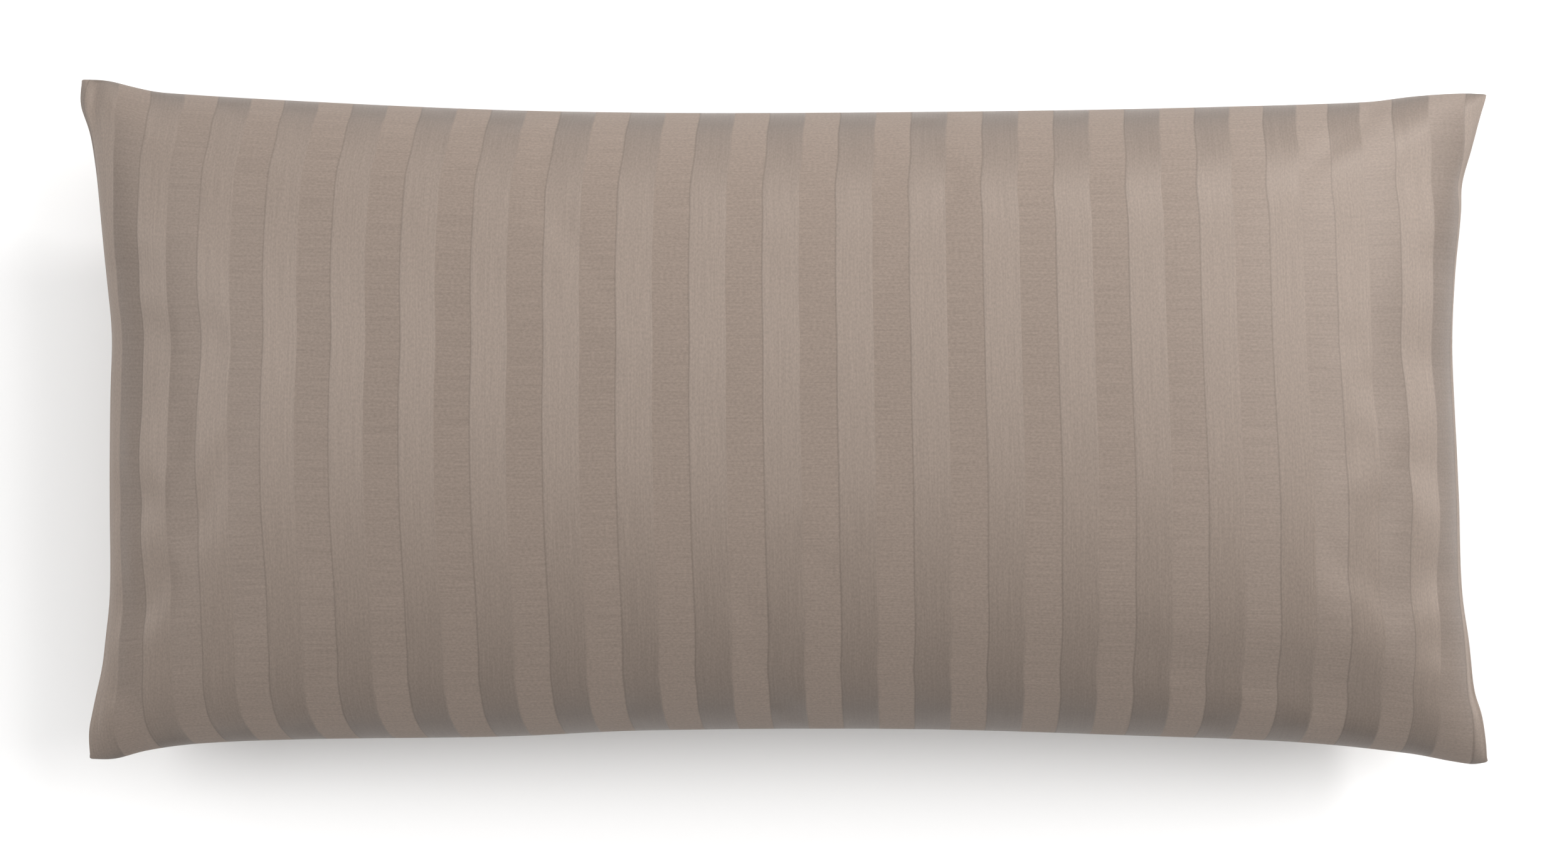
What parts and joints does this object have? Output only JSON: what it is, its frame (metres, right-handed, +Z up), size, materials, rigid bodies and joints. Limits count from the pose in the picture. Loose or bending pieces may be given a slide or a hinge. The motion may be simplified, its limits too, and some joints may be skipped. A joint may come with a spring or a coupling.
{
  "type": "filled pillowcase",
  "caption": "Rectangular striped satin pillowcase over its filling, crowned, with drawn-in seams and flat pointed corners, lying on its back.",
  "frame": {"origin": "under the middle of the case, on the surface it lies on", "axes": "+X along the case's long side, +Y across it, +Z up out of the front panel"},
  "size_m": [0.7903, 0.3843, 0.152],
  "materials": {
    "satin_stripe_cloth": "warm grey-brown satin damask with tone-on-tone stripes about 19 mm wide across the case, soft sheen"
  },
  "bodies": {
    "root": {"pillowcase": "satin_stripe_cloth"}
  },
  "joints": []
}
